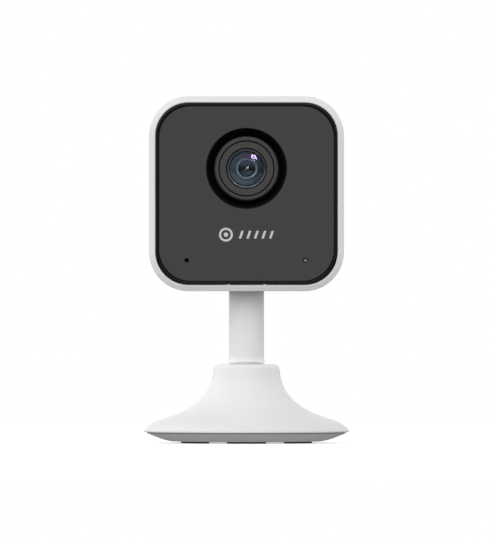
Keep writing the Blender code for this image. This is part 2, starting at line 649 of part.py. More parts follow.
build_base()
build_stem()
fixed = {"base_shell", "base_cover", "base_weight", "foot_ring", "neck_bush", "wave_washer", "swivel_washer"}
fixed |= {"base_screw_1", "base_screw_2", "base_screw_3"}
stem_pieces = [piece for piece in parts.objects if piece.name not in fixed]
build_hinge()
build_case()
build_lens()
build_electronics()
filter_pieces = [parts.objects["ir_filter_carriage"], parts.objects["ir_filter_glass"]]
button_pieces = [parts.objects["reset_button"]]
others = [*stem_pieces, *filter_pieces, *button_pieces]
head_pieces = [piece for piece in parts.objects if piece.name not in fixed and piece not in others]

swivel = hang(stem_pieces, "swivel_axis", (0, 0, STEM_BOTTOM))
tilt = hang(head_pieces, "tilt_axis", (0, 0, TILT_Z), swivel)
hang(filter_pieces, "filter_axis", forward(2.85, 0, LENS_Z), tilt)
hang(button_pieces, "reset_axis", (PORT_X, 11, RESET_Z), tilt)
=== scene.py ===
"""Looks of an indoor security camera: a square head on a stem that swivels in a flared round base.

Shapes are worked out in millimetres and become metres in piece(). Pieces of the head are laid out by how
far they are in front of the stem's axis, which is their height before they are turned to face the front.
"""

import json
import math

import bmesh
import bpy
from mathutils import Euler, Matrix, Vector
from mathutils.geometry import interpolate_bezier


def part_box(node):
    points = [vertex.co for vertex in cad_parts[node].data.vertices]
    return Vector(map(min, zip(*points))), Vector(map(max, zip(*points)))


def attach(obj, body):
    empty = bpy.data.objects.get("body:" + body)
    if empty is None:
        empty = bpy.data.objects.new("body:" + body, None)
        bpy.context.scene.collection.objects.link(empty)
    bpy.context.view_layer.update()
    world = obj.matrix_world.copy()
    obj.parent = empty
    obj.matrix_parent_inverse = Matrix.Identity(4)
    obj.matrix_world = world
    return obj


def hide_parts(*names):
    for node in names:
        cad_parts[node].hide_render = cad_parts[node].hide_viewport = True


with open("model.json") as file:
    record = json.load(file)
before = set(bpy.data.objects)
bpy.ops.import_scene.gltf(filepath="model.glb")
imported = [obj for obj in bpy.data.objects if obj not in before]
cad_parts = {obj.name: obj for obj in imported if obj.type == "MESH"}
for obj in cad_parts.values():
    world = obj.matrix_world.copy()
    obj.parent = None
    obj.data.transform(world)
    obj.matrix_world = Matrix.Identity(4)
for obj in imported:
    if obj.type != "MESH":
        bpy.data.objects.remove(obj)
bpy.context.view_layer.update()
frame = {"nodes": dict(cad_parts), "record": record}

MM = 0.001
FACING = {
    "up": (0, 0, 0),
    "down": (math.pi, 0, 0),
    "front": (math.pi / 2, 0, 0),
    "back": (math.pi / 2, 0, math.pi),
    "right": (math.pi / 2, 0, math.pi / 2),
}
TURNING_STEPS = 128
BASE_STEPS = 160
CORNER_STEPS = 14


def corners(node):
    """A node's lowest and highest corners, in millimetres."""
    low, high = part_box(node)
    return low / MM, high / MM


# Head
SHELL_LOW, SHELL_HIGH = corners("rear_shell")
HEAD_HALF = (SHELL_HIGH.x - SHELL_LOW.x) / 2
HEAD_MIDDLE = (SHELL_HIGH.z + SHELL_LOW.z) / 2
SHELL_FRONT = -SHELL_LOW.y
SHELL_BACK = -SHELL_HIGH.y
HEAD_CORNER = 12.3
SHELL_WALL = 1.95
REAR_ROUND = 5.5
TILT_Z = 54.5
SLOT_HALF = 5.95

# Face
BEZEL_LOW, BEZEL_HIGH = corners("front_bezel")
BEZEL_HALF = (BEZEL_HIGH.x - BEZEL_LOW.x) / 2
BEZEL_FRONT = -BEZEL_LOW.y
BEZEL_BACK = -BEZEL_HIGH.y
BEZEL_CORNER = 10.3
LEDGE = 13.5
CASE_SCREW = 23.0
PANEL_LOW, PANEL_HIGH = corners("front_panel")
PANEL_HALF = (PANEL_HIGH.x - PANEL_LOW.x) / 2
PANEL_FRONT = -PANEL_LOW.y
PANEL_BACK = -PANEL_HIGH.y
PANEL_CORNER = 9.9
SMALL_HOLES_Z = HEAD_MIDDLE - 20.75
MICROPHONE = (-18.6, 0, SMALL_HOLES_Z)
STATUS_LIGHT = (18.4, 0, SMALL_HOLES_Z)
RECESS_RADIUS = 12.6

# Lens
BARREL_LOW, BARREL_HIGH = corners("lens_barrel")
LENS_Z = (BARREL_LOW.z + BARREL_HIGH.z) / 2
BARREL_RADIUS = (BARREL_HIGH.x - BARREL_LOW.x) / 2
BARREL_FRONT = -BARREL_LOW.y
GLASS_RADIUS = 6.1
LENS_AXIS = (0, 0, LENS_Z)

# Stem and base
STEM_LOW, STEM_HIGH = corners("stem_tube")
STEM_BOTTOM = STEM_LOW.z
STEM_TOP = STEM_HIGH.z
STEM_RADIUS = 5.45
BASE_LOW, BASE_HIGH = corners("base_shell")
BASE_RADIUS = BASE_HIGH.x
NECK_TOP = BASE_HIGH.z
RIM_Z = 3.75
FOOT_RING = 19.0

# Openings in the back and the right side
SPEAKER_Z = 88.0
PORT = (15.2, 0, 58.5)
RESET = (15.2, 0, 68.0)
CARD_SLOT = (0, 1.1, 83.0)


# ---------------------------------------------------------------- node trees


class Value:
    """A number that changes over a surface. Sums and products of such numbers add the Math nodes that work
    them out."""

    def __init__(self, tree, socket):
        self.tree = tree
        self.socket = socket

    def __add__(self, other):
        return self.tree.maths("ADD", self, other)

    def __sub__(self, other):
        return self.tree.maths("SUBTRACT", self, other)

    def __mul__(self, other):
        return self.tree.maths("MULTIPLY", self, other)

    def __truediv__(self, other):
        return self.tree.maths("DIVIDE", self, other)

    def __rsub__(self, other):
        return self.tree.maths("SUBTRACT", other, self)

    def __rtruediv__(self, other):
        return self.tree.maths("DIVIDE", other, self)

    def __gt__(self, other):
        return self.tree.maths("GREATER_THAN", self, other)

    def __lt__(self, other):
        return self.tree.maths("LESS_THAN", self, other)

    __radd__ = __add__
    __rmul__ = __mul__


class Tree:
    """Adds nodes to one node tree."""

    def __init__(self, tree):
        self.tree = tree

    def node(self, kind, settings=None, values=None, output=0):
        """Adds a node with these settings and socket values, and gives one of its outputs."""
        made = self.tree.nodes.new(kind)
        for name, setting in (settings or {}).items():
            setattr(made, name, setting)
        for name, value in (values or {}).items():
            self.feed(made.inputs[name], value)
        return Value(self, made.outputs[output])

    def feed(self, socket, value):
        if isinstance(value, Value):
            self.tree.links.new(value.socket, socket)
        else:
            socket.default_value = value

    def maths(self, operation, *values):
        return self.node("ShaderNodeMath", {"operation": operation}, dict(enumerate(values)))

    def ramp(self, value, low, high):
        """0 up to low, 1 from high on, and smooth in between."""
        settings = {"interpolation_type": "SMOOTHSTEP"}
        return self.node("ShaderNodeMapRange", settings, {"Value": value, "From Min": low, "From Max": high})

    def parts(self, vector):
        """The X, Y and Z of a vector."""
        first = self.node("ShaderNodeSeparateXYZ", None, {0: vector})
        return [Value(self, socket) for socket in first.socket.node.outputs]

    def mixed(self, share, colour, other):
        settings = {"data_type": "RGBA"}
        values = {0: share, 6: colour, 7: other}
        return self.node("ShaderNodeMix", settings, values, 2)


class Finish(Tree):
    """A material on object coordinates. Sizes of its patterns are in millimetres."""

    def __init__(self, name):
        self.material = bpy.data.materials.new(name)
        self.material.use_nodes = True
        super().__init__(self.material.node_tree)
        self.shader = self.tree.nodes["Principled BSDF"]
        self.place = self.node("ShaderNodeTexCoord", output="Object")

    def centred(self, centre):
        """The pattern's place measured from a point, in millimetres."""
        values = {"Location": [-step for step in centre], "Scale": (1 / MM, 1 / MM, 1 / MM)}
        return self.node("ShaderNodeMapping", {"vector_type": "POINT"}, {"Vector": self.place, **values})

    def stretched(self, x, y, z):
        return self.node("ShaderNodeMapping", None, {"Vector": self.place, "Scale": (x, y, z)})

    def noise(self, size, detail=2.0, place=None):
        """Soft random values about half, with spots of this size."""
        values = {"Vector": place or self.place, "Scale": 1 / (size * MM), "Detail": detail}
        return self.node("ShaderNodeTexNoise", None, values)

    def cells(self, size, feature="F1", place=None, randomness=1.0):
        values = {"Vector": place or self.place, "Scale": 1 / (size * MM), "Randomness": randomness}
        return self.node("ShaderNodeTexVoronoi", {"feature": feature}, values)

    def bump(self, height, depth, normal=None):
        """A relief this deep, in millimetres, where height runs from 0 to 1."""
        values = {"Height": height, "Distance": depth * MM, "Strength": 1.0}
        if normal:
            values["Normal"] = normal
        return self.node("ShaderNodeBump", None, values)

    def soft_edges(self, radius):
        """A normal that rounds sharp edges over, as a mould does."""
        return self.node("ShaderNodeBevel", {"samples": 6}, {"Radius": radius * MM})

    def done(self, **values):
        for name, value in values.items():
            self.feed(self.shader.inputs[name.replace("_", " ")], value)
        return self.material


def tone(colour, share=1.0):
    return (*[channel * share for channel in colour], 1.0)


def moulded(name, colour, roughness, grain, depth, specular=0.5, sway=0.03):
    """Injection-moulded plastic: a spark-eroded grain, slow flow marks in its tone and a few smoother
    rubbed spots."""
    made = Finish(name)
    flow = made.noise(11.0, 2.0)
    fine = made.noise(grain, 3.0)
    rubbed = made.ramp(made.noise(2.6, 4.0), 0.45, 0.75)
    shade = made.mixed(flow, tone(colour, 1 - sway), tone(colour, 1 + sway / 2))
    return made.done(
        Base_Color=made.mixed(fine * 0.25, shade, tone(colour, 1 - 2 * sway)),
        Roughness=roughness + (fine - 0.5) * 0.06 - rubbed * 0.015,
        Specular_IOR_Level=specular,
        Normal=made.bump(fine, depth),
    )


def turned_metal(name, colour, roughness):
    """Metal with fine machining lines and a little staining."""
    made = Finish(name)
    lines = made.noise(0.9, 2.0, made.stretched(1, 1, 14))
    stain = made.ramp(made.noise(3.5, 4.0), 0.5, 0.8)
    return made.done(
        Base_Color=made.mixed(stain, tone(colour), tone(colour, 0.82)),
        Metallic=1.0,
        Roughness=roughness + lines * 0.14 + stain * 0.08,
        Normal=made.bump(lines, 0.006, made.soft_edges(0.08)),
    )


def stamped_tin(name):
    """Tinned steel sheet: rolled lines and the mottled spangle of the plating."""
    made = Finish(name)
    rolled = made.noise(0.6, 2.0, made.stretched(1, 1, 9))
    spangle = made.cells(1.4)
    return made.done(
        Base_Color=made.mixed(spangle, tone((0.62, 0.62, 0.6)), tone((0.78, 0.78, 0.77))),
        Metallic=1.0,
        Roughness=0.24 + rolled * 0.16,
        Normal=made.bump(rolled + spangle * 0.5, 0.008, made.soft_edges(0.08)),
    )


def rubber(name):
    made = Finish(name)
    dust = made.ramp(made.noise(1.3, 5.0), 0.5, 0.85)
    fine = made.noise(0.2, 3.0)
    return made.done(
        Base_Color=made.mixed(dust, tone((0.022, 0.022, 0.023)), tone((0.06, 0.06, 0.058))),
        Roughness=0.78 + fine * 0.12,
        Normal=made.bump(fine, 0.02, made.soft_edges(0.12)),
    )


def acrylic_panel(name):
    """A dark grey screen-printed window: the print's very fine dots under a polished skin with faint wipe
    marks."""
    made = Finish(name)
    dots = made.ramp(made.cells(0.22, randomness=0.2), 0.1, 0.45)
    wipes = made.noise(5.0, 3.0, made.stretched(1, 1, 2.4))
    return made.done(
        Base_Color=made.mixed(dots, tone((0.07, 0.07, 0.07)), tone((0.066, 0.066, 0.066))),
        Roughness=0.11 + wipes * 0.06,
        Specular_IOR_Level=0.3,
        Normal=made.bump(wipes, 0.0015, made.soft_edges(0.06)),
    )


def piano_black(name):
    made = Finish(name)
    ripple = made.noise(6.0, 1.0)
    swirl = made.noise(0.5, 4.0)
    return made.done(
        Base_Color=made.mixed(ripple, tone((0.0025, 0.0025, 0.0027)), tone((0.004, 0.004, 0.0043))),
        Roughness=0.1 + swirl * 0.06,
        Normal=made.bump(ripple, 0.004),
    )


def anodised(name, colour, centre):
    """Dark anodised metal turned on a lathe: rings about the lens, with a soft satin sheen."""
    made = Finish(name)
    across, _, up = made.parts(made.centred((0, 0, centre)))
    radius = made.maths("SQRT", across * across + up * up)
    rings = made.maths("SINE", radius * 42)
    fine = made.noise(0.16, 3.0)
    return made.done(
        Base_Color=made.mixed(fine, tone(colour, 0.92), tone(colour, 1.08)),
        Roughness=0.42 + fine * 0.1 + rings * 0.02,
        Specular_IOR_Level=0.35,
        Normal=made.bump(rings * 0.5 + fine, 0.002, made.soft_edges(0.06)),
    )


def flocked_black(name, level):
    """Matte black that swallows light inside a lens or a housing."""
    made = Finish(name)
    nap = made.noise(0.12, 4.0)
    return made.done(
        Base_Color=made.mixed(nap, tone((level,) * 3), tone((level * 1.6,) * 3)),
        Roughness=0.6 + nap * 0.2,
        Specular_IOR_Level=0.25,
        Normal=made.bump(nap, 0.015, made.soft_edges(0.08)),
    )


def coated_glass(name, colour, tint, roughness=0.03, mirror=0.25):
    """Optical glass whose anti-reflection coating tints what it mirrors, with a trace of dust."""
    made = Finish(name)
    film = made.noise(4.0, 1.0)
    dust = made.ramp(made.noise(0.5, 2.0), 0.6, 0.9)
    return made.done(
        Base_Color=made.mixed(film, tone(colour), tone(colour, 0.9)),
        Roughness=roughness + dust * 0.02,
        Transmission_Weight=1.0,
        IOR=1.52,
        Specular_IOR_Level=mirror,
        Specular_Tint=tone(tint),
        Normal=made.bump(film, 0.0002),
    )


def clear_resin(name, colour):
    """Moulded clear epoxy with a faint haze of flow lines."""
    made = Finish(name)
    haze = made.noise(0.7, 3.0)
    return made.done(
        Base_Color=made.mixed(haze, tone(colour), tone(colour, 0.85)),
        Roughness=0.12 + haze * 0.16,
        Transmission_Weight=0.7,
        IOR=1.5,
        Normal=made.bump(haze, 0.006),
    )


def circuit_board(name):
    """Green solder mask over copper: tracks along both sides of a grid, plated holes and pads."""
    made = Finish(name)
    across, _, up = made.parts(made.centred((0, 0, 0)))
    patch = made.cells(5.5, place=made.stretched(1, 0, 1))
    runs_up = (made.maths("PINGPONG", across, 0.5) > 0.36) * (patch > 0.42)
    runs_across = (made.maths("PINGPONG", up, 0.5) > 0.36) * (patch < 0.42)
    tracks = made.maths("MAXIMUM", runs_up, runs_across)
    holes = made.cells(2.2, place=made.stretched(1, 0, 1), randomness=0.55) < 0.14
    mask = made.mixed(tracks, tone((0.006, 0.07, 0.03)), tone((0.012, 0.15, 0.06)))
    return made.done(
        Base_Color=made.mixed(holes, mask, tone((0.72, 0.55, 0.28))),
        Metallic=holes,
        Roughness=0.34 + made.noise(0.5, 3.0) * 0.12,
        Normal=made.bump(tracks * 0.6 + holes, 0.03),
    )


def chip_package(name):
    """Black moulding compound: a sandy skin with lighter flow marks."""
    made = Finish(name)
    sand = made.noise(0.09, 3.0)
    flow = made.noise(2.4, 2.0)
    return made.done(
        Base_Color=made.mixed(flow, tone((0.012, 0.012, 0.013)), tone((0.024, 0.024, 0.026))),
        Roughness=0.46 + sand * 0.16,
        Normal=made.bump(sand, 0.015, made.soft_edges(0.08)),
    )


def wound_copper(name):
    """Enamelled wire laid turn beside turn."""
    made = Finish(name)
    across, _, _ = made.parts(made.centred((0, 0, 0)))
    turns = made.maths("ABSOLUTE", made.maths("SINE", across * (math.pi / 0.16)))
    # The base colour is painted darker in the grooves between the turns: painted shade.
    return made.done(
        Base_Color=made.mixed(turns, tone((0.2, 0.05, 0.02)), tone((0.62, 0.25, 0.1))),
        Metallic=0.9,
        Roughness=0.28 + made.noise(0.4) * 0.1,
        Normal=made.bump(turns, 0.06),
    )


def open_foam(name):
    made = Finish(name)
    pores = made.cells(0.35, "DISTANCE_TO_EDGE")
    # The base colour is painted darker in the pores' hollows: painted shade.
    pore_shade = made.ramp(pores, 0.0, 0.25)
    return made.done(
        Base_Color=made.mixed(pore_shade, tone((0.13, 0.13, 0.14)), tone((0.03, 0.03, 0.032))),
        Roughness=0.9 + made.noise(0.3) * 0.08,
        Normal=made.bump(1 - pores, 0.12),
    )


def flat_cable(name):
    """White film with tinned conductors showing through as darker stripes."""
    made = Finish(name)
    across, _, _ = made.parts(made.centred((0, 0, 0)))
    stripes = made.ramp(made.maths("PINGPONG", across, 0.25), 0.11, 0.15)
    return made.done(
        Base_Color=made.mixed(stripes, tone((0.74, 0.74, 0.7)), tone((0.42, 0.43, 0.44))),
        Roughness=0.38 + made.noise(0.6) * 0.14,
        Normal=made.bump(stripes, 0.03),
    )


def printed_ink(name):
    """Silver-grey ink laid by a screen, a little uneven under a lens."""
    made = Finish(name)
    patches = made.noise(0.25, 3.0)
    return made.done(
        Base_Color=made.mixed(patches, tone((0.6, 0.6, 0.61)), tone((0.7, 0.7, 0.71))),
        Roughness=0.4 + patches * 0.15,
        Normal=made.bump(patches, 0.004),
    )


SOOT = flocked_black("soot_black", 0.0012)
WHITE = moulded(
    "white_satin_plastic", (0.86, 0.86, 0.865),
    roughness=0.34, grain=0.16, depth=0.0004, specular=0.25, sway=0.008,
)
FINISHES = {
    "white_plastic": WHITE,
    "grey_plastic": moulded("grey_plastic", (0.25, 0.25, 0.255), 0.52, 0.2, 0.008),
    "dark_rubber": rubber("dark_rubber"),
    "steel": turned_metal("machined_steel", (0.56, 0.56, 0.58), 0.26),
    "natural_acetal": moulded("natural_acetal", (0.8, 0.79, 0.76), 0.4, 0.3, 0.003),
    "gloss_black": piano_black("piano_black"),
    "panel_grey": acrylic_panel("smoked_acrylic"),
    "matte_black": flocked_black("matte_black", 0.004),
    "barrel_grey": anodised("anodised_barrel", (0.062, 0.06, 0.058), LENS_Z),
    "coated_glass": coated_glass("coated_glass", (0.78, 0.86, 0.96), (0.7, 0.5, 1.0)),
    "clear_plastic": clear_resin("clear_resin", (0.86, 0.87, 0.88)),
    "board_green": circuit_board("circuit_board"),
    "chip_black": chip_package("chip_package"),
    "tinned_steel": stamped_tin("tinned_sheet"),
    "copper_winding": wound_copper("wound_copper"),
    "grey_foam": open_foam("open_foam"),
    "ribbon_white": flat_cable("flat_cable"),
}


# ---------------------------------------------------------------- shapes


def mesh_of(work, merge=1e-4):
    """Makes the worked shape a mesh, with its seams closed and its faces turned outwards."""
    bmesh.ops.remove_doubles(work, verts=work.verts, dist=merge)
    bmesh.ops.recalc_face_normals(work, faces=work.faces)
    mesh = bpy.data.meshes.new("shape")
    work.to_mesh(mesh)
    work.free()
    return mesh


def rounded(outline, closed=True, steps=5):
    """The outline's points, with each corner that has a third number rounded over by about that radius."""
    points = []
    for i, corner in enumerate(outline):
        at_end = not closed and i in (0, len(outline) - 1)
        if len(corner) < 3 or at_end:
            points.append(tuple(corner[:2]))
            continue
        here = Vector(corner[:2])
        before = Vector(outline[i - 1][:2]) - here
        after = Vector(outline[(i + 1) % len(outline)][:2]) - here
        half = before.angle(after) / 2
        reach = min(corner[2] / math.tan(half), before.length / 2, after.length / 2)
        start = here + before.normalized() * reach
        end = here + after.normalized() * reach
        for step in range(steps + 1):
            share = step / steps
            points.append(tuple(start.lerp(here, share).lerp(here.lerp(end, share), share)))
    return points


def along(first, second, third, last, steps):
    """Points of (radius, height) along a cubic curve, ends included."""
    knots = [Vector((*knot, 0)) for knot in (first, second, third, last)]
    return [(point.x, point.y) for point in interpolate_bezier(*knots, steps)]


def lathe(profile, steps=TURNING_STEPS):
    """A profile of (radius, height) spun about +Z. It is a closed loop unless both its ends are on the
    axis."""
    work = bmesh.new()
    points = [work.verts.new((radius, 0, height)) for radius, height in profile]
    pairs = list(zip(points, points[1:]))
    if profile[0][0] > 0:
        pairs.append((points[-1], points[0]))
    edges = [work.edges.new(pair) for pair in pairs]
    turn = {"cent": (0, 0, 0), "axis": (0, 0, 1), "angle": 2 * math.pi}
    bmesh.ops.spin(work, geom=points + edges, steps=steps, use_duplicate=False, **turn)
    return mesh_of(work)


def drum(radius, low, high, steps=48):
    return lathe([(0, high), (radius, high), (radius, low), (0, low)], steps)


def arc(radius, start, end, x=0.0, y=0.0, steps=6):
    """Points from one angle to another, in degrees."""
    angles = [math.radians(start + (end - start) * i / steps) for i in range(steps + 1)]
    return [(x + radius * math.cos(a), y + radius * math.sin(a)) for a in angles]


def circle(radius, x=0.0, y=0.0, steps=48):
    return arc(radius, 0, 360, x, y, steps)[:-1]


def rounded_rectangle(half_x, half_y, corner, steps=CORNER_STEPS):
    points = []
    for side_x, side_y, start in ((1, 1, 0), (-1, 1, 90), (-1, -1, 180), (1, -1, 270)):
        x = side_x * (half_x - corner)
        y = side_y * (half_y - corner)
        points += arc(corner, start, start + 90, x, y, steps)
    return points


def capsule(radius, low, high):
    """A slot outline with round ends centred on low and high."""
    return arc(radius, 0, 180, 0, high, 20) + arc(radius, 180, 360, 0, low, 20)


def dome(radius, top, drop, steps):
    """The outer profile of a lens element, from its middle out to where it has dropped this far."""
    return [(radius * i / steps, top - drop * (i / steps) ** 2) for i in range(steps + 1)]


def loft(sections, ring=False, steps=CORNER_STEPS):
    """Rounded rectangles (half_x, half_y, corner, height), joined one to the next. The two ends are filled,
    or a ring's last section is joined to its first."""
    work = bmesh.new()
    rows = []
    for half_x, half_y, corner, height in sections:
        outline = rounded_rectangle(half_x, half_y, corner, steps)
        rows.append([work.verts.new((x, y, height)) for x, y in outline])
    pairs = list(zip(rows, rows[1:]))
    if ring:
        pairs.append((rows[-1], rows[0]))
    else:
        work.faces.new(rows[0])
        work.faces.new(rows[-1])
    count = len(rows[0])
    for lower, upper in pairs:
        for i in range(count):
            after = (i + 1) % count
            work.faces.new((lower[i], lower[after], upper[after], upper[i]))
    return mesh_of(work)


def block(half_x, half_y, low, high, corner=0.05):
    return loft([(half_x, half_y, corner, low), (half_x, half_y, corner, high)], steps=2)


def slab(outlines, low, high):
    """Flat outlines raised from low to high. An outline inside another one is a hole."""
    curve = bpy.data.curves.new("slab", "CURVE")
    curve.dimensions = "2D"
    curve.fill_mode = "BOTH"
    curve.extrude = (high - low) / 2
    for outline in outlines:
        spline = curve.splines.new("POLY")
        spline.points.add(len(outline) - 1)
        for point, (x, y) in zip(spline.points, outline):
            point.co = (x, y, 0, 1)
        spline.use_cyclic_u = True
    work = bmesh.new()
    work.from_mesh(evaluated(bpy.data.objects.new("slab", curve)))
    bmesh.ops.translate(work, verts=work.verts, vec=(0, 0, (low + high) / 2))
    return mesh_of(work, 0.001)


def evaluated(made):
    """The object's mesh with its modifiers applied. The object itself is removed."""
    bpy.context.scene.collection.objects.link(made)
    graph = bpy.context.evaluated_depsgraph_get()
    mesh = bpy.data.meshes.new_from_object(made.evaluated_get(graph))
    bpy.data.objects.remove(made)
    return mesh


def moved(mesh, x=0.0, y=0.0, z=0.0, facing="up"):
    """The mesh turned to face a way and then moved, in millimetres."""
    mesh.transform(Matrix.Translation((x, y, z)) @ Euler(FACING[facing]).to_matrix().to_4x4())
    return mesh


def shaped(mesh, operation, tools):
    target = bpy.data.objects.new("shaped", mesh)
    helpers = []
    for tool in tools:
        helper = bpy.data.objects.new("tool", tool)
        bpy.context.scene.collection.objects.link(helper)
        helpers.append(helper)
        step = target.modifiers.new("Step", "BOOLEAN")
        step.operation = operation
        step.object = helper
    result = evaluated(target)
    for helper in helpers:
        bpy.data.objects.remove(helper)
    return result


def cut(mesh, *tools):
    return shaped(mesh, "DIFFERENCE", tools)


def joined(mesh, *tools):
    return shaped(mesh, "UNION", tools)


def piece(name, mesh, body, slot, *nodes, look=None, centre=(0, 0, 0), facing="up", edge=0.0, smooth=40):
    """Puts a mesh in its place, in metres, with its finish, hangs it on the empty of the body it rides on and
    hides the nodes it stands for. Edge is the width of the rounding along its sharp edges."""
    turn = Euler(FACING[facing]).to_matrix().to_4x4()
    mesh.transform(Matrix.Translation(Vector(centre) * MM) @ turn @ Matrix.Scale(MM, 4))
    mesh.materials.clear()
    mesh.materials.append(look or FINISHES[slot])
    mesh.shade_smooth()
    mesh.set_sharp_from_angle(angle=math.radians(smooth))
    made = bpy.data.objects.new(name, mesh)
    bpy.context.scene.collection.objects.link(made)
    if edge:
        rounding = made.modifiers.new("Rounding", "BEVEL")
        rounding.width = edge * MM
        rounding.segments = 3
        rounding.angle_limit = math.radians(50)
        rounding.use_clamp_overlap = False
        rounding.harden_normals = True
    else:
        made.modifiers.new("Normals", "WEIGHTED_NORMAL").keep_sharp = True
    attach(made, body)
    if nodes:
        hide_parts(*nodes)
    return made


# ---------------------------------------------------------------- repeated shapes


def copies(mesh, name, sizes, lay_out):
    """The mesh repeated by a geometry tree. sizes names the tree's inputs, and lay_out turns them into the
    points that carry the copies and the turn of each."""
    group = bpy.data.node_groups.new(name, "GeometryNodeTree")
    group.interface.new_socket("Shape", in_out="INPUT", socket_type="NodeSocketGeometry")
    kinds = {int: "NodeSocketInt", float: "NodeSocketFloat"}
    sockets = {}
    for label, size in sizes.items():
        sockets[label] = group.interface.new_socket(label, in_out="INPUT", socket_type=kinds[type(size)])
    group.interface.new_socket("Shape", in_out="OUTPUT", socket_type="NodeSocketGeometry")
    tree = Tree(group)
    source = group.nodes.new("NodeGroupInput")
    inputs = {socket.name: Value(tree, socket) for socket in source.outputs if socket.name}
    points, turn = lay_out(tree, inputs)
    values = {"Points": points, "Instance": inputs["Shape"], "Rotation": turn}
    laid = tree.node("GeometryNodeInstanceOnPoints", None, values)
    real = tree.node("GeometryNodeRealizeInstances", None, {0: laid})
    dressed = tree.node("GeometryNodeSetMaterial", None, {"Geometry": real, "Material": WHITE})
    tree.feed(group.nodes.new("NodeGroupOutput").inputs[0], dressed)
    carrier = bpy.data.objects.new(name, mesh)
    repeat = carrier.modifiers.new("Copies", "NODES")
    repeat.node_group = group
    for label, size in sizes.items():
        repeat[sockets[label].identifier] = size
    result = evaluated(carrier)
    result.materials.clear()
    return result


def round_a_circle(tree, inputs):
    """Points on a circle about +Z, each copy turned to face outwards."""
    first = inputs["First angle"]
    values = {"Vertices": inputs["Copies"], "Radius": inputs["Radius"]}
    ring = tree.node("GeometryNodeMeshCircle", None, values)
    step = math.tau / inputs["Copies"]
    turn = tree.node("GeometryNodeInputIndex") * step + first
    spun = tree.node("GeometryNodeTransform", None, {0: ring, "Rotation": upright(tree, first)})
    return spun, upright(tree, turn)


def upright(tree, turn):
    """A turn about +Z."""
    return tree.node("ShaderNodeCombineXYZ", None, {"Z": turn})


def on_a_grid(tree, inputs):
    """Points of a grid in the XY plane, centred on the origin."""
    values = {"Size X": inputs["Width"], "Size Y": inputs["Height"]}
    values.update({"Vertices X": inputs["Columns"], "Vertices Y": inputs["Rows"]})
    return tree.node("GeometryNodeMeshGrid", None, values), (0, 0, 0)


def on_a_honeycomb(tree, inputs):
    """Points of a honeycomb in the XY plane within a radius of the origin, with every other row set half a
    step over."""
    pitch = inputs["Pitch"]
    spacing = inputs["Row spacing"]
    columns = 7
    rows = 5
    values = {"Size X": pitch * (columns - 1), "Size Y": spacing * (rows - 1)}
    values.update({"Vertices X": columns, "Vertices Y": rows})
    grid = tree.node("GeometryNodeMeshGrid", None, values)
    row = tree.parts(tree.node("GeometryNodeInputPosition"))[1] / spacing
    odd = tree.maths("PINGPONG", row, 1.0)
    shift = tree.node("ShaderNodeCombineXYZ", None, {"X": odd * pitch * 0.5})
    staggered = tree.node("GeometryNodeSetPosition", None, {0: grid, "Offset": shift})
    place = tree.node("GeometryNodeInputPosition")
    distance = tree.node("ShaderNodeVectorMath", {"operation": "LENGTH"}, {0: place}, 1)
    values = {0: staggered, "Selection": distance > inputs["Reach"]}
    kept = tree.node("GeometryNodeDeleteGeometry", {"domain": "POINT"}, values)
    return kept, (0, 0, 0)


def screw_mesh(head, height, shank, length):
    """A pan-head screw standing on the origin's level, with a rolled thread and a cross recess. Head and
    shank are radii."""
    pitch = shank * 0.55
    core = shank * 0.78
    turns = int((length - shank) / pitch)
    profile = [(0, height), (head * 0.7, height, head * 0.25), (head, height * 0.5, head * 0.2)]
    profile += [(head, 0, 0.08), (shank * 0.9, 0)]
    for turn in range(turns):
        crest = -(turn + 0.6) * pitch
        profile += [(core, crest + pitch * 0.3), (shank, crest), (core, crest - pitch * 0.3)]
    profile += [(shank * 0.5, -length + shank * 0.2, 0.1), (0, -length)]
    blank = lathe(rounded(profile, closed=False, steps=3), 32)
    blade = (head * 0.14, head * 0.62)
    low = height * 0.35
    blades = [
        loft([(x * 0.6, y * 0.6, 0.02, low), (x, y, 0.02, height + 0.5)], steps=2)
        for x, y in (blade, blade[::-1])
    ]
    return cut(blank, *blades)


def small_screw(length):
    return screw_mesh(1.6, 0.9, 0.8, length)


# ---------------------------------------------------------------- base and stem


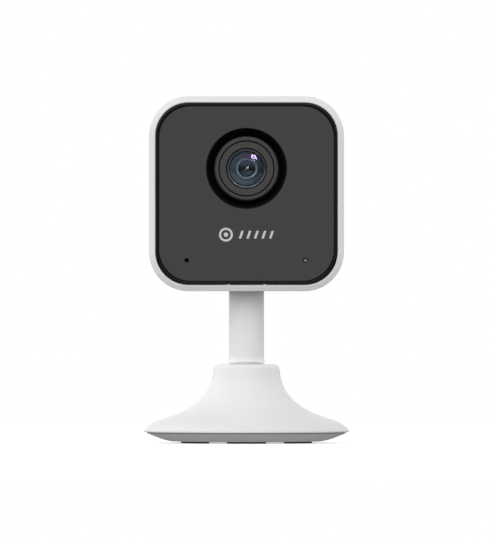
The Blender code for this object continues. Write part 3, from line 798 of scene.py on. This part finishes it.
def build_base():
    neck = (10.35, 22.6)
    brim = (28.6, 6.6)
    shoulder = along((8.3, NECK_TOP), (9.75, NECK_TOP), (10.22, 23.9), neck, 9)
    flank = along(neck, (11.55, 10.6), (23.6, 8.6), brim, 30)
    rim = along(brim, (30.3, 5.9), (31.9, 4.7), (BASE_RADIUS, RIM_Z), 12)
    lip = [(BASE_RADIUS, RIM_Z), (31.9, 3.4, 0.25), (31.3, 3.3), (29.0, 3.3), (28.4, 4.4)]
    lining = [(26.8, 5.2), (21.6, 7.4), (14.0, 11.4), (9.7, 16.0), (8.4, 22.4), (5.4, 22.4)]
    profile = [(5.4, NECK_TOP - 0.25), (5.65, NECK_TOP)] + shoulder + flank[1:] + rim[1:]
    profile += rounded(lip, closed=False)[1:] + lining
    piece("flared_base", lathe(profile, BASE_STEPS), "base", "white_plastic", "base_shell", smooth=60)

    dish = along((31.3, 3.15), (28.4, 2.0), (25.3, 0.5), (22.5, 0.5), 14)
    groove = [(22.5, 0.5), (21.5, 0.5, 0.15), (21.5, 1.2), (16.6, 1.2), (16.6, 0.5, 0.15), (14, 0.5)]
    ripple = [(14, 0.5), (13.4, 0.5, 0.1), (13.2, 0.8), (12.6, 0.8), (12.4, 0.5, 0.1), (0, 0.5)]
    cover = [(0, 2.2), (26.5, 2.2), (28.6, 3.15)] + dish
    cover += rounded(groove, closed=False)[1:] + rounded(ripple, closed=False)[1:]
    three = {"Copies": 3, "Radius": FOOT_RING, "First angle": math.radians(30)}
    wells = copies(drum(1.95, 0.2, 2.05, 32), "screw_wells", three, round_a_circle)
    underside = cut(lathe(cover, BASE_STEPS), wells)
    satin = moulded("underside_plastic", (0.8, 0.8, 0.805), 0.45, 0.25, 0.008, sway=0.012)
    piece("underside_cover", underside, "base", "grey_plastic", "base_cover", look=satin)

    fastener = moved(small_screw(5.2), facing="down")
    screws = copies(fastener, "base_screw_ring", three, round_a_circle)
    screw_nodes = [f"base_screw_{number}" for number in range(1, 4)]
    piece("base_screws", screws, "base", "steel", *screw_nodes, centre=(0, 0, 2.25))

    outer = arc(21.0, -17, 17, -FOOT_RING, 0, 12)
    inner = arc(17.0, 17, -17, -FOOT_RING, 0, 12)
    six = {"Copies": 6, "Radius": FOOT_RING, "First angle": math.radians(-90)}
    pads = copies(slab([outer + inner], 0.0, 0.75), "foot_pad_ring", six, round_a_circle)
    web = lathe(rounded([(21.2, 0.55, 0.1), (21.2, 0.9), (16.9, 0.9), (16.9, 0.55, 0.1)]))
    piece("foot_pads", joined(web, pads), "base", "dark_rubber", "foot_ring", edge=0.12)

    collar = [(5.6, 25.1, 0.08), (5.6, 24.8), (5.1, 24.8), (5.1, 22.0, 0.15)]
    collar += [(3.45, 22.0, 0.15), (3.45, 25.1, 0.08)]
    piece("neck_collar", lathe(rounded(collar)), "base", "natural_acetal", "neck_bush", look=WHITE)


def build_stem():
    foot = STEM_BOTTOM - 0.2
    flare = along((STEM_RADIUS, 27.4), (STEM_RADIUS, 26.4), (5.55, 25.8), (5.8, foot + 0.15), 10)
    tube = [(5.15, STEM_TOP), (STEM_RADIUS, STEM_TOP - 0.3)] + flare
    tube += [(5.8, foot), (4.5, foot), (4.5, STEM_TOP)]
    piece("stem", lathe(tube), "stem", "white_plastic", "stem_tube")

    plug = [(0, 50.6), (STEM_RADIUS, 50.6, 0.25), (STEM_RADIUS, 49.8), (4.2, 49.8), (4.2, 41, 0.4), (0, 41)]
    seat = 50.0 - TILT_Z
    cheek = arc(5.6, 0, 180, steps=40) + [(-STEM_RADIUS, seat), (STEM_RADIUS, seat)]
    tongue = moved(slab([cheek], -4.9, 4.9), z=TILT_Z, facing="right")
    bore = moved(drum(1.8, -9, 9), z=TILT_Z, facing="right")
    knuckle = cut(joined(lathe(rounded(plug, closed=False)), tongue), bore)
    piece("hinge_tongue", knuckle, "stem", "grey_plastic", "hinge_knuckle", edge=0.25)

    bolt = screw_mesh(3.2, 1.9, 1.05, 10.4)
    piece("swivel_bolt", bolt, "stem", "steel", "swivel_screw", centre=(0, 0, 20.0), facing="down")


# ---------------------------------------------------------------- head


def shell_section(inset, height):
    half = HEAD_HALF - inset
    return (half, half, HEAD_CORNER - inset, height)


def flared_cutter(half_x, half_y, corner, chamfer):
    """Cuts an opening in the back wall, with a chamfer round its mouth."""
    face = -SHELL_BACK
    steps = ((0, face - 4), (0, face - chamfer), (chamfer, face), (4 * chamfer, face + 3 * chamfer))
    return loft([(half_x + out, half_y + out, corner + out, height) for out, height in steps], steps=8)


def build_shell():
    """One skin from the middle of the back, round the outside, over the front edge and back inside."""
    inner = REAR_ROUND - SHELL_WALL
    room = SHELL_BACK + SHELL_WALL
    outside = []
    inside = []
    for i in range(13):
        turn = math.radians(90 * i / 12)
        across = 1 - math.cos(turn)
        along_wall = 1 - math.sin(turn)
        outside.append(shell_section(REAR_ROUND * along_wall, SHELL_BACK + REAR_ROUND * across))
        inside.append(shell_section(SHELL_WALL + inner * across, room + inner * along_wall))
    lip = [(0, SHELL_FRONT - 3), (0, SHELL_FRONT - 0.95, 0.5), (1.35, SHELL_FRONT - 0.1, 0.3)]
    lip += [(1.6, SHELL_FRONT), (SHELL_WALL, SHELL_FRONT, 0.06), (SHELL_WALL, SHELL_FRONT - 2)]
    front = [shell_section(*step) for step in rounded(lip, closed=False)]
    shell = loft(outside + front + inside)

    below = moved(slab([capsule(SLOT_HALF, -2.0, 20)], -3, 2.9), 0, 0, SHELL_LOW.z)
    behind = moved(slab([capsule(SLOT_HALF, -20, 0)], 9.3, 17), 0, 0, TILT_Z, "back")
    port = moved(flared_cutter(4.3, 1.8, 0.9, 0.3), *PORT, "back")
    reset = moved(flared_cutter(1.65, 1.65, 1.64, 0.25), *RESET, "back")
    card = [(0.8, 6.2, 0.5, HEAD_HALF - 3), (0.8, 6.2, 0.5, HEAD_HALF - 0.3)]
    card += [(1.7, 7.1, 1.4, HEAD_HALF + 0.6)]
    slot = moved(loft(card, steps=6), *CARD_SLOT, "right")
    grille = {"Pitch": 2.6, "Row spacing": 2.25, "Reach": 5.6}
    pin = lathe([(0, 15), (1.9, 15), (0.7, 13.25), (0.7, 9), (0, 9)], 24)
    pins = copies(pin, "speaker_perforations", grille, on_a_honeycomb)
    perforations = moved(pins, 0, 0, SPEAKER_Z, "back")
    solid = moved(shell, 0, 0, HEAD_MIDDLE, "front")
    carved = cut(solid, below, behind, port, reset, slot, perforations)
    piece("head_shell", carved, "head", "white_plastic", "rear_shell", smooth=35)


def build_face():
    def section(half, corner, height):
        return (half, half, corner, height)

    crest = [(0, BEZEL_BACK + 1), (0, BEZEL_FRONT, 0.55), (0.85, BEZEL_FRONT, 0.25), (0.85, LEDGE)]
    opening = (25, 13)
    sections = [section(BEZEL_HALF, BEZEL_CORNER, BEZEL_BACK)]
    for inset, height in rounded(crest, closed=False, steps=8):
        sections.append(section(BEZEL_HALF - inset, BEZEL_CORNER - inset, height))
    sections += [section(*opening, LEDGE), section(*opening, BEZEL_BACK)]
    wells = {"Width": 2 * CASE_SCREW, "Height": 2 * CASE_SCREW, "Columns": 2, "Rows": 2}
    counterbore = lathe([(0, 15), (1.95, 15), (1.95, 12.2), (1.1, 12.2), (1.1, 9), (0, 9)], 32)
    bezel = cut(loft(sections, ring=True), copies(counterbore, "case_screw_wells", wells, on_a_grid))
    middle = (0, 0, HEAD_MIDDLE)
    piece("face_bezel", bezel, "head", "gloss_black", "front_bezel", centre=middle, facing="front", smooth=30)

    broken = 0.1
    sheet = loft([
        section(PANEL_HALF, PANEL_CORNER, PANEL_BACK),
        section(PANEL_HALF, PANEL_CORNER, PANEL_FRONT - broken),
        section(PANEL_HALF - broken, PANEL_CORNER - broken, PANEL_FRONT),
    ], steps=24)
    holes = ((RECESS_RADIUS, LENS_AXIS, 128), (0.69, MICROPHONE, 32), (0.78, STATUS_LIGHT, 32))
    drills = []
    for radius, (x, _, z), steps in holes:
        bit = [(0, PANEL_FRONT + 1), (radius + broken + 1, PANEL_FRONT + 1), (radius, PANEL_FRONT - broken)]
        bit += [(radius, PANEL_BACK - 1), (0, PANEL_BACK - 1)]
        drills.append(moved(lathe(bit, steps), x, z - HEAD_MIDDLE))
    window = cut(sheet, *drills)
    piece("face_panel", window, "head", "panel_grey", "front_panel", centre=middle, facing="front")

    case = copies(small_screw(8.0), "case_screw_grid", wells, on_a_grid)
    case_nodes = [f"case_screw_{number}" for number in range(1, 5)]
    spot = (0, 1.1 - LEDGE, HEAD_MIDDLE)
    piece("case_screws", case, "head", "steel", *case_nodes, centre=spot, facing="front")
    pair = {"Width": 47.6, "Height": 1.0, "Columns": 2, "Rows": 1}
    board = copies(small_screw(7.5), "board_screw_pair", pair, on_a_grid)
    board_nodes = [f"board_screw_{number}" for number in (1, 2)]
    spot = (0, -1.5, 70.0)
    piece("board_screws", board, "head", "steel", *board_nodes, centre=spot, facing="front")


def build_mark():
    """A plain printed sign in place of a maker's: a ring with a dot, and five slanted dashes."""
    ring = [circle(radius, -6.4, 0, steps) for radius, steps in ((2.15, 48), (1.5, 48), (0.7, 24))]
    dashes = []
    for number in range(5):
        x = -2.4 + number * 2.35
        dashes.append([(x, -1.2), (x + 0.75, -1.2), (x + 1.55, 1.2), (x + 0.8, 1.2)])
    sign = slab(ring + dashes, PANEL_FRONT - 0.01, PANEL_FRONT + 0.025)
    ink = printed_ink("silver_ink")
    piece("printed_mark", sign, "head", "panel_grey", look=ink, centre=(0, 0, 65.0), facing="front")


def lens_piece(name, profile, slot, *nodes, look=None, steps=TURNING_STEPS):
    """A piece of the lens, turned about its axis."""
    mesh = lathe(profile, steps)
    return piece(name, mesh, "head", slot, *nodes, look=look, centre=LENS_AXIS, facing="front")


def build_lens():
    """Builds the lens from the outside in, and gives its front element."""
    ridges = 9
    floor, depth = 7.5, 6.0
    narrow, flare = 10.6, 1.75
    recess = [(14.6, 13.5), (14.6, 12.9), (13.1, 12.9), (11.4, 7.3), (10.1, 7.3), (10.1, floor)]
    for number in range(ridges):
        low = floor + depth * number / ridges
        high = floor + depth * (number + 0.85) / ridges
        valley = narrow + flare * number / ridges
        crest = narrow + flare * (number + 0.9) / ridges
        recess += [(valley, low + 0.15), (crest, high)]
    recess += [(narrow + flare, floor + depth)]
    lens_piece("lens_recess", recess, "matte_black", "lens_shroud")

    front = BARREL_FRONT
    barrel = [(8.75, front, 0.1), (9.5, front, 0.12), (BARREL_RADIUS, 14.05, 0.2), (BARREL_RADIUS, 10.0)]
    barrel += [(7.0, 10.0), (7.0, 4.6, 0.3), (3.6, 4.6), (3.6, 5.4), (5.2, 5.4), (5.2, 10.5)]
    barrel += [(6.4, 10.5), (6.4, 11.7), (8.75, 11.7)]
    lens_piece("focus_barrel", rounded(barrel), "barrel_grey", "lens_barrel")
    retainer = [(6.4, front - 0.1, 0.08), (8.35, front - 0.1, 0.1), (8.35, 12.0), (6.4, 12.0)]
    lens_piece("retaining_ring", rounded(retainer), "barrel_grey", "lens_front_ring")

    outer_seal = [(8.35, front - 0.5), (8.75, front - 0.5), (8.75, 12.0), (8.35, 12.0)]
    inner_seal = [(6.05, front - 0.75), (6.4, front - 0.6), (6.4, 12.0), (6.1, 12.0), (6.1, 12.6)]
    lens_piece("barrel_seal", outer_seal, "matte_black", look=SOOT)
    lens_piece("glass_seal", inner_seal, "matte_black", look=SOOT)
    polished = turned_metal("polished_bead", (0.75, 0.76, 0.8), 0.1)
    lens_piece("glass_bead", circle(0.1, 5.85, 12.82, 10), "steel", look=polished)

    domed = 0.985
    front_side = dome(GLASS_RADIUS * domed, 14.1, 1.6 * domed ** 2, 24)
    back_side = along((4.9, 10.9), (3.6, 11.3), (1.6, 11.9), (0, 11.9), 14)
    element = front_side + [(GLASS_RADIUS, 12.35), (GLASS_RADIUS, 10.8), (5.2, 10.8)] + back_side
    clear = coated_glass("front_element_glass", (0.74, 0.86, 0.9), (0.35, 0.25, 0.5), 0.05, 0.04)
    front_element = lens_piece("front_element", element, "coated_glass", "front_lens", look=clear, steps=96)

    baffle = [(5.1, 10.35, 0.1), (4.6, 10.35, 0.15), (4.5, 9.9), (4.0, 9.8, 0.15), (3.9, 9.35)]
    baffle += [(3.3, 9.25, 0.15), (3.2, 8.8), (2.45, 8.8), (2.45, 8.4), (5.1, 8.4)]
    blued = anodised("blued_baffle", (0.046, 0.058, 0.066), LENS_Z)
    lens_piece("stepped_baffle", rounded(baffle), "matte_black", "aperture_stop", look=blued)
    eyelet = anodised("pale_eyelet", (0.2, 0.235, 0.245), LENS_Z)
    lens_piece("pupil_rim", circle(0.36, 2.82, 9.15, 20), "steel", look=eyelet)

    gold = turned_metal("gold_glint", (0.8, 0.62, 0.36), 0.18)
    silver = turned_metal("silver_glint", (0.8, 0.8, 0.8), 0.16)
    glints = (("upper_glint", silver, 0.46, 0.3, 0.25), ("lower_glint", gold, 0.3, -0.22, -0.28))
    for name, look, radius, x, y in glints:
        cap = moved(lathe(dome(radius, 9.42, 0.22, 6) + [(0, 9.2)], 32), x, y)
        piece(name, cap, "head", "steel", look=look, centre=LENS_AXIS, facing="front")
    inner = dome(0.95, 9.3, 0.35, 10) + along((0.95, 8.95), (1.3, 8.85), (1.8, 8.8), (2.35, 8.6), 10)[1:]
    inner += [(2.35, 8.5), (0, 8.5)]
    # The inner element's glass is tinted nearly black: painted shade for the dark inside of the lens behind
    # the pupil.
    dark = coated_glass("inner_element_glass", (0.002, 0.014, 0.012), (0.6, 1.0, 0.85), 0.05, 0.03)
    lens_piece("inner_element", inner, "coated_glass", "middle_lens", look=dark, steps=64)
    return front_element


def build_microphone():
    """A rubber boot with an acoustic membrane across the end of its channel."""
    boot = [(0, 12.3), (0.6, 12.3), (0.6, 13.4), (0.65, 13.45), (1.4, 13.45), (1.5, 13.35)]
    boot += [(1.5, 11.7), (0.7, 11.7), (0.7, 12.1), (0, 12.1)]
    mesh = lathe(boot, 32)
    piece("microphone_boot", mesh, "head", "dark_rubber", "mic_seal", centre=MICROPHONE, facing="front")


def build_light_sleeve():
    """The black sleeve that keeps the light pipe's glow off the panel's edge."""
    sleeve = lathe([(0.5, 14.95), (0.56, 15.05), (0.76, 15.05), (0.76, 13.6), (0.5, 13.6)], 32)
    piece("light_sleeve", sleeve, "head", "matte_black", look=SOOT, centre=STATUS_LIGHT, facing="front")


def build_back():
    """The socket and the button that show through the back wall."""
    body = loft([(3.8, 1.4, 0.9, 7.1), (3.8, 1.4, 0.9, 13.0), (3.7, 1.3, 0.8, 13.2)], steps=8)
    room = loft([(3.45, 1.05, 0.6, 8.0), (3.45, 1.05, 0.6, 12.9), (3.75, 1.35, 0.85, 13.4)], steps=8)
    socket = cut(body, room)
    piece("usb_shell", socket, "head", "tinned_steel", "usb_port", centre=PORT, facing="back")
    tongue = block(2.3, 0.3, 7.9, 12.2)
    piece("usb_tongue", tongue, "head", "chip_black", centre=PORT, facing="back", edge=0.08)
    contact = moved(block(0.16, 0.03, 8.2, 12.0, 0.01), y=-0.33)
    row = {"Width": 3.2, "Height": 1.0, "Columns": 5, "Rows": 1}
    pins = copies(contact, "socket_contacts", row, on_a_grid)
    gold = turned_metal("gold_flash", (0.85, 0.6, 0.25), 0.2)
    piece("usb_contacts", pins, "head", "tinned_steel", look=gold, centre=PORT, facing="back")

    button = [(0, 13.15), (0.9, 13.2), (1.35, 13.3, 0.12), (1.35, 11.4), (2.2, 11.4), (2.2, 10.7)]
    button += [(1.0, 10.7), (1.0, 9.8), (0, 9.8)]
    cap = lathe(rounded(button, closed=False), 48)
    piece("reset_cap", cap, "reset_button", "grey_plastic", "reset_button", centre=RESET, facing="back")


def dress_frame():
    """Gives each node of the frame that still shows the finish of its slot."""
    for part in frame["record"]["subparts"]:
        made = frame["nodes"][part["node"]]
        for place in made.material_slots:
            place.material = FINISHES[part["material_slot"]]


# ---------------------------------------------------------------- studio

# Strengths of the parts of the room's light, and how far the ceiling and mirrored rays dim it
GROUND_LIGHT = 0.18
FLOOR_LIGHT = 0.22
HORIZON_LIGHT = 0.45
HIGH_LIGHT = 0.17
AHEAD_LIGHT = 1.8
BESIDE_LIGHT = 1.3
LEFT_LIGHT = 0.6
CEILING_SHADE = 0.9
GLOSS_SHADE = 0.55

# The table, in millimetres, and the camera, in metres but for its focal length
TABLE_RADIUS = 600
TABLE_THICKNESS = 4
FOCAL_LENGTH = 1000
CAMERA_PLACE = (0, -4.683, 0.054)


def build_floor():
    table = Finish("white_table")
    paper = table.noise(0.6, 3.0)
    look = table.done(
        Base_Color=table.mixed(paper, tone((0.9, 0.9, 0.9)), tone((0.94, 0.94, 0.94))),
        Roughness=0.7 + paper * 0.1,
        Emission_Color=(1, 1, 1, 1),
        Emission_Strength=0.35,
    )
    mesh = drum(TABLE_RADIUS, -TABLE_THICKNESS, 0, 96)
    mesh.transform(Matrix.Scale(MM, 4))
    mesh.materials.append(look)
    made = bpy.data.objects.new("studio_table", mesh)
    bpy.context.scene.collection.objects.link(made)
    made.visible_diffuse = False
    made.visible_glossy = False


def softbox(name, azimuth, elevation, distance, size, power, subject):
    """A round light aimed at the lens that lights its subject alone. Azimuth runs from the front towards
    +X, and it and the elevation are in degrees. Distance and size are in metres."""
    light = bpy.data.lights.new(name, "AREA")
    light.shape = "DISK"
    light.size = size
    light.energy = power
    made = bpy.data.objects.new(name, light)
    turn = math.radians(azimuth)
    rise = math.radians(elevation)
    way = Vector((math.sin(turn) * math.cos(rise), -math.cos(turn) * math.cos(rise), math.sin(rise)))
    made.location = Vector((0, 0, LENS_Z * MM)) + way * distance
    made.rotation_euler = way.to_track_quat("Z", "Y").to_euler()
    lit = bpy.data.collections.new("lit_by_" + name)
    lit.objects.link(subject)
    made.light_linking.receiver_collection = lit
    bpy.context.scene.collection.objects.link(made)


def build_world():
    """A white room, brightest above the camera and beside and behind the object, with a dark ceiling. It is
    dimmer in mirrored rays, and plain white to the camera."""
    world = bpy.data.worlds.new("studio")
    bpy.context.scene.world = world
    world.use_nodes = True
    sky = Tree(world.node_tree)
    background = world.node_tree.nodes["Background"]
    across, back, up = sky.parts(sky.node("ShaderNodeTexCoord", output="Generated"))
    level = sky.maths("SQRT", across * across + back * back)
    facing = back / level
    horizon = sky.ramp(up, -0.08, 0.1)
    high = sky.ramp(up, 0.1, 0.7)
    floor = sky.ramp(0 - up, 0.25, 0.6)
    ahead = sky.ramp(0 - facing, 0.75, 0.98) * sky.ramp(up, 0.03, 0.35)
    beside = sky.ramp(facing, -0.25, 0.3) * horizon * (1 - sky.ramp(up, 0.25, 0.6))
    left = sky.ramp(0 - across, 0.1, 0.9) * horizon
    ceiling = sky.ramp(up, 0.7, 0.92)
    light = GROUND_LIGHT + FLOOR_LIGHT * floor + HORIZON_LIGHT * horizon + HIGH_LIGHT * high
    light = light + AHEAD_LIGHT * ahead + BESIDE_LIGHT * beside + LEFT_LIGHT * left
    light = light * (1 - ceiling * CEILING_SHADE)
    seen = sky.node("ShaderNodeLightPath", output="Is Camera Ray")
    mirrored = sky.node("ShaderNodeLightPath", output="Is Glossy Ray")
    strength = light * (1 - mirrored * GLOSS_SHADE) * (1 - seen) + seen
    sky.feed(background.inputs["Strength"], strength)
    background.inputs["Color"].default_value = (1, 1, 1, 1)


def build_camera():
    camera = bpy.data.cameras.new("camera")
    camera.lens = FOCAL_LENGTH
    camera.sensor_width = 36
    camera.clip_end = 20
    made = bpy.data.objects.new("camera", camera)
    made.location = CAMERA_PLACE
    made.rotation_euler = (math.pi / 2, 0, 0)
    bpy.context.scene.collection.objects.link(made)
    bpy.context.scene.camera = made
    bpy.context.scene.view_settings.view_transform = "Standard"


build_camera()
build_floor()
build_world()
dress_frame()
build_base()
build_stem()
build_shell()
build_face()
build_mark()
softbox("key_light", azimuth=26, elevation=33, distance=0.7, size=0.22, power=5.5, subject=build_lens())
build_microphone()
build_light_sleeve()
build_back()
